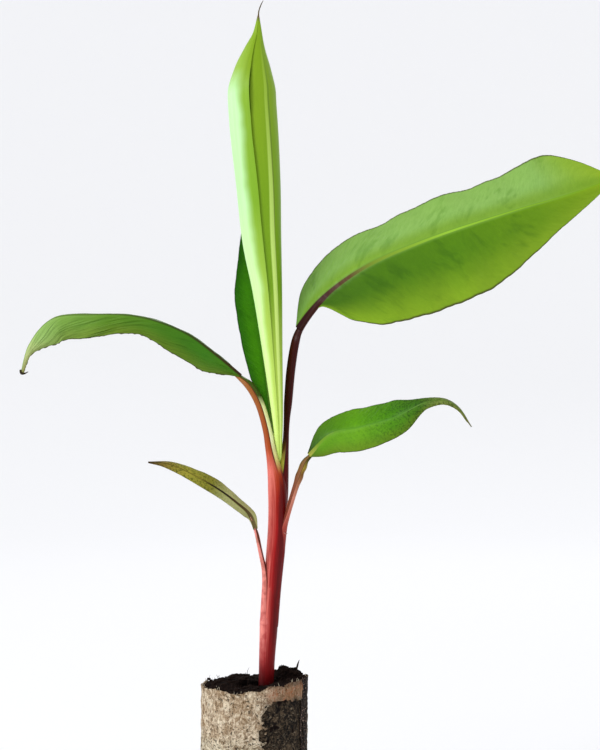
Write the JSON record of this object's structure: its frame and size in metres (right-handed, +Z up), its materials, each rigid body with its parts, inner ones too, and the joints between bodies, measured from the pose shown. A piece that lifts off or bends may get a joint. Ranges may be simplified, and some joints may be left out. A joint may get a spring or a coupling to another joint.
{
  "type": "young banana plant",
  "caption": "Young banana plant with a red sheathed stem, broad arching leaves and a rolled new leaf, standing on a round soil plug in a paper sleeve.",
  "frame": {"origin": "middle of the soil plug's flat underside", "axes": "+Z up along the plant, +X towards the biggest leaf, -Y towards the side that shows the leaves' upper faces"},
  "size_m": [0.2883, 0.0531, 0.4025],
  "materials": {
    "soil": "matte, crumbly",
    "sleeve_paper": "matte, stained",
    "red_sheath": "satin, streaked",
    "leaf_stalk": "satin",
    "dark_leaf_stalk": "glossy",
    "leaf": "satin, ribbed",
    "dark_leaf": "satin, ribbed",
    "young_leaf": "satin, waxy bloom",
    "old_leaf": "matte, mottled"
  },
  "bodies": {
    "root": {"soil_plug": "soil", "paper_sleeve": "sleeve_paper", "pseudostem": "red_sheath", "petiole_left": "leaf_stalk", "petiole_right": "dark_leaf_stalk", "petiole_back": "leaf_stalk", "petiole_low_right": "leaf_stalk", "petiole_low_left": "leaf_stalk", "leaf_right": "leaf", "leaf_left_inner": "leaf", "leaf_left_tip": "leaf", "leaf_low_right": "leaf", "leaf_low_right_tip": "leaf", "leaf_low_left": "old_leaf", "leaf_back": "dark_leaf", "leaf_rolled": "young_leaf"}
  },
  "joints": []
}
